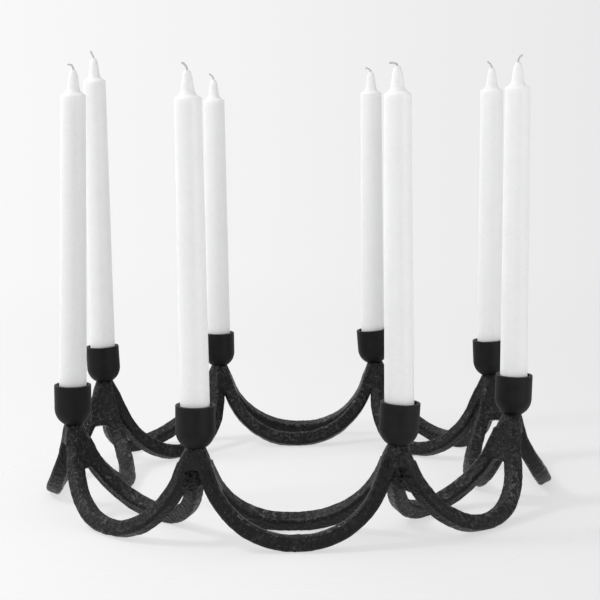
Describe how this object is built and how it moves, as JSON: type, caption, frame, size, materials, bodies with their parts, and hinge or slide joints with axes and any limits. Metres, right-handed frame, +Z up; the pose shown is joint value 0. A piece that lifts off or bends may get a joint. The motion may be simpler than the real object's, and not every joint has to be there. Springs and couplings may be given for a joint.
{
  "type": "candelabrum",
  "caption": "Ring candelabrum: black cast posts joined by drooping double swags, each post topped by a cup that holds a tall white taper candle.",
  "frame": {"origin": "on the table, at the middle of the ring", "axes": "+Z up; -Y towards the bay that faces the viewer; the bays' middles lie every 45 degrees from +X"},
  "size_m": [0.4298, 0.4012, 0.3725],
  "materials": {
    "cast_iron": "matte black paint over a pitted sand-cast surface",
    "cup_iron": "matte black paint, smoother than the legs, with a worn rim",
    "weld_bead": "rough ground weld under matte black paint",
    "screw_steel": "plain steel",
    "wax": "white candle wax, satin and slightly translucent",
    "wick_cotton": "unburnt braided cotton"
  },
  "bodies": {
    "frame": {"casting_1": "cast_iron", "weld_outer_1": "weld_bead", "weld_inner_1": "weld_bead", "cup_1": "cup_iron", "cup_screw_1": "screw_steel", "casting_2": "cast_iron", "weld_outer_2": "weld_bead", "weld_inner_2": "weld_bead", "cup_2": "cup_iron", "cup_screw_2": "screw_steel", "casting_3": "cast_iron", "weld_outer_3": "weld_bead", "weld_inner_3": "weld_bead", "cup_3": "cup_iron", "cup_screw_3": "screw_steel", "casting_4": "cast_iron", "weld_outer_4": "weld_bead", "weld_inner_4": "weld_bead", "cup_4": "cup_iron", "cup_screw_4": "screw_steel", "casting_5": "cast_iron", "weld_outer_5": "weld_bead", "weld_inner_5": "weld_bead", "cup_5": "cup_iron", "cup_screw_5": "screw_steel", "casting_6": "cast_iron", "weld_outer_6": "weld_bead", "weld_inner_6": "weld_bead", "cup_6": "cup_iron", "cup_screw_6": "screw_steel", "casting_7": "cast_iron", "weld_outer_7": "weld_bead", "weld_inner_7": "weld_bead", "cup_7": "cup_iron", "cup_screw_7": "screw_steel", "casting_8": "cast_iron", "weld_outer_8": "weld_bead", "weld_inner_8": "weld_bead", "cup_8": "cup_iron", "cup_screw_8": "screw_steel"},
    "candle_1": {"candle_1": "wax", "wick_1": "wick_cotton"},
    "candle_2": {"candle_2": "wax", "wick_2": "wick_cotton"},
    "candle_3": {"candle_3": "wax", "wick_3": "wick_cotton"},
    "candle_4": {"candle_4": "wax", "wick_4": "wick_cotton"},
    "candle_5": {"candle_5": "wax", "wick_5": "wick_cotton"},
    "candle_6": {"candle_6": "wax", "wick_6": "wick_cotton"},
    "candle_7": {"candle_7": "wax", "wick_7": "wick_cotton"},
    "candle_8": {"candle_8": "wax", "wick_8": "wick_cotton"}
  },
  "joints": [
    {"name": "candle_1_lift", "type": "slide", "parent": "frame", "child": "candle_1", "axis": [0, 0, 1], "range_m": [0, 0.05]},
    {"name": "candle_2_lift", "type": "slide", "parent": "frame", "child": "candle_2", "axis": [0, 0, 1], "range_m": [0, 0.05]},
    {"name": "candle_3_lift", "type": "slide", "parent": "frame", "child": "candle_3", "axis": [0.0087, 0, 1], "range_m": [0, 0.05]},
    {"name": "candle_4_lift", "type": "slide", "parent": "frame", "child": "candle_4", "axis": [0.0052, 0, 1], "range_m": [0, 0.05]},
    {"name": "candle_5_lift", "type": "slide", "parent": "frame", "child": "candle_5", "axis": [0, 0, 1], "range_m": [0, 0.05]},
    {"name": "candle_6_lift", "type": "slide", "parent": "frame", "child": "candle_6", "axis": [0, 0, 1], "range_m": [0, 0.05]},
    {"name": "candle_7_lift", "type": "slide", "parent": "frame", "child": "candle_7", "axis": [0, 0, 1], "range_m": [0, 0.05]},
    {"name": "candle_8_lift", "type": "slide", "parent": "frame", "child": "candle_8", "axis": [0.0349, 0, 0.9994], "range_m": [0, 0.05]}
  ]
}
